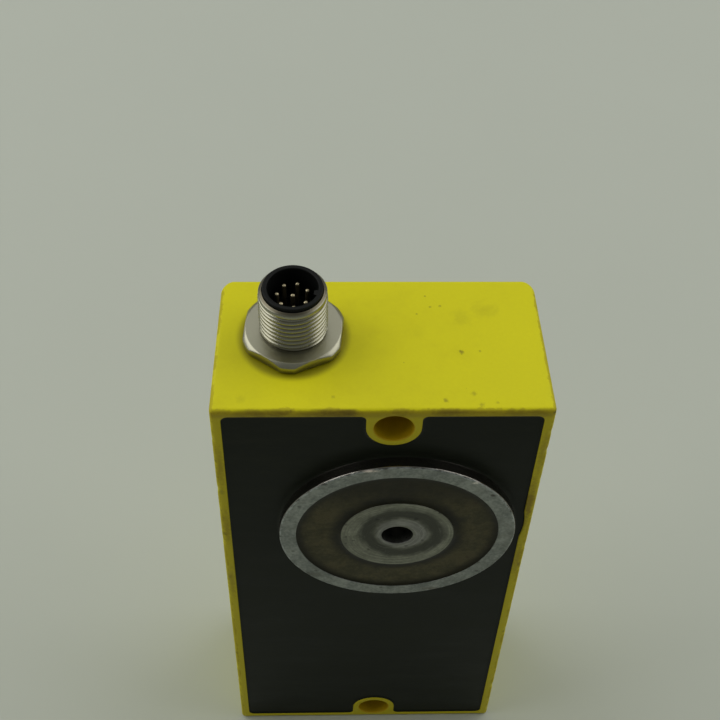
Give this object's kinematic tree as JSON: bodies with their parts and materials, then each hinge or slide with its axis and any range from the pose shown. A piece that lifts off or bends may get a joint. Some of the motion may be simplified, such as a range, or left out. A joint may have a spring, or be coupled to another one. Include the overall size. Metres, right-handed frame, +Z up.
{
  "type": "electromagnetic door lock with coded tag reader",
  "caption": "Potted yellow lock body with a round holding magnet in its front face, a screw-on round plug inlet on top and through holes at both ends.",
  "frame": {"origin": "middle of the bounding box at the bottom end, on the surface that the part stands on", "axes": "+Z up along the housing to the connector, -Y out of the magnet's face, +X to the right when facing the magnet"},
  "size_m": [0.0586, 0.0322, 0.1322],
  "materials": {
    "yellow_plastic": "fine-textured yellow glass-filled plastic, scuffed along the rim",
    "dark_resin": "near-black cast resin with a soft sheen",
    "label_foil": "blank satin foil",
    "ground_steel": "ground steel, mottled with handling marks",
    "nylon": "natural nylon",
    "enamelled_copper": "enamelled copper wire",
    "amber_resin": "dark amber cast resin",
    "wire_sleeve": "silicone sleeve",
    "zinc_steel": "zinc-plated steel",
    "nickel_brass": "nickel-plated brass, satin",
    "black_plastic": "black polyamide",
    "black_rubber": "black nitrile rubber",
    "red_rubber": "red silicone rubber",
    "gold_plate": "gold-plated contact",
    "board_laminate": "green solder mask on glass laminate",
    "polyimide": "amber polyimide film",
    "chip_epoxy": "moulded black epoxy",
    "capacitor_can": "drawn aluminium can",
    "ferrite": "sintered ferrite",
    "led_plastic": "clear moulded lens",
    "light_guide": "frosted light guide"
  },
  "bodies": {
    "root": {"housing": "yellow_plastic", "potting_cap": "dark_resin", "rating_label": "label_foil", "magnet_pot": "ground_steel", "magnet_core": "ground_steel", "coil_bobbin": "nylon", "coil_winding": "enamelled_copper", "coil_resin": "amber_resin", "coil_leads": "wire_sleeve", "magnet_screw": "zinc_steel", "connector_shell": "nickel_brass", "connector_insert": "black_plastic", "flange_o_ring": "black_rubber", "insert_seal": "red_rubber", "connector_locknut": "nickel_brass", "contact_pin_1": "gold_plate", "contact_pin_2": "gold_plate", "contact_pin_3": "gold_plate", "contact_pin_4": "gold_plate", "contact_pin_5": "gold_plate", "contact_pin_6": "gold_plate", "contact_pin_7": "gold_plate", "contact_pin_8": "gold_plate", "connector_board": "board_laminate", "ribbon_cable": "polyimide", "ribbon_header": "black_plastic", "main_board": "board_laminate", "microcontrollers": "chip_epoxy", "output_transistors": "chip_epoxy", "buffer_capacitors": "capacitor_can", "power_inductor": "ferrite", "suppressor_diode": "chip_epoxy", "clock_crystal": "capacitor_can", "antenna_former": "ferrite", "antenna_coil": "enamelled_copper", "antenna_leads": "enamelled_copper", "status_leds": "led_plastic", "light_pipes": "light_guide", "board_screws": "zinc_steel"}
  },
  "joints": []
}
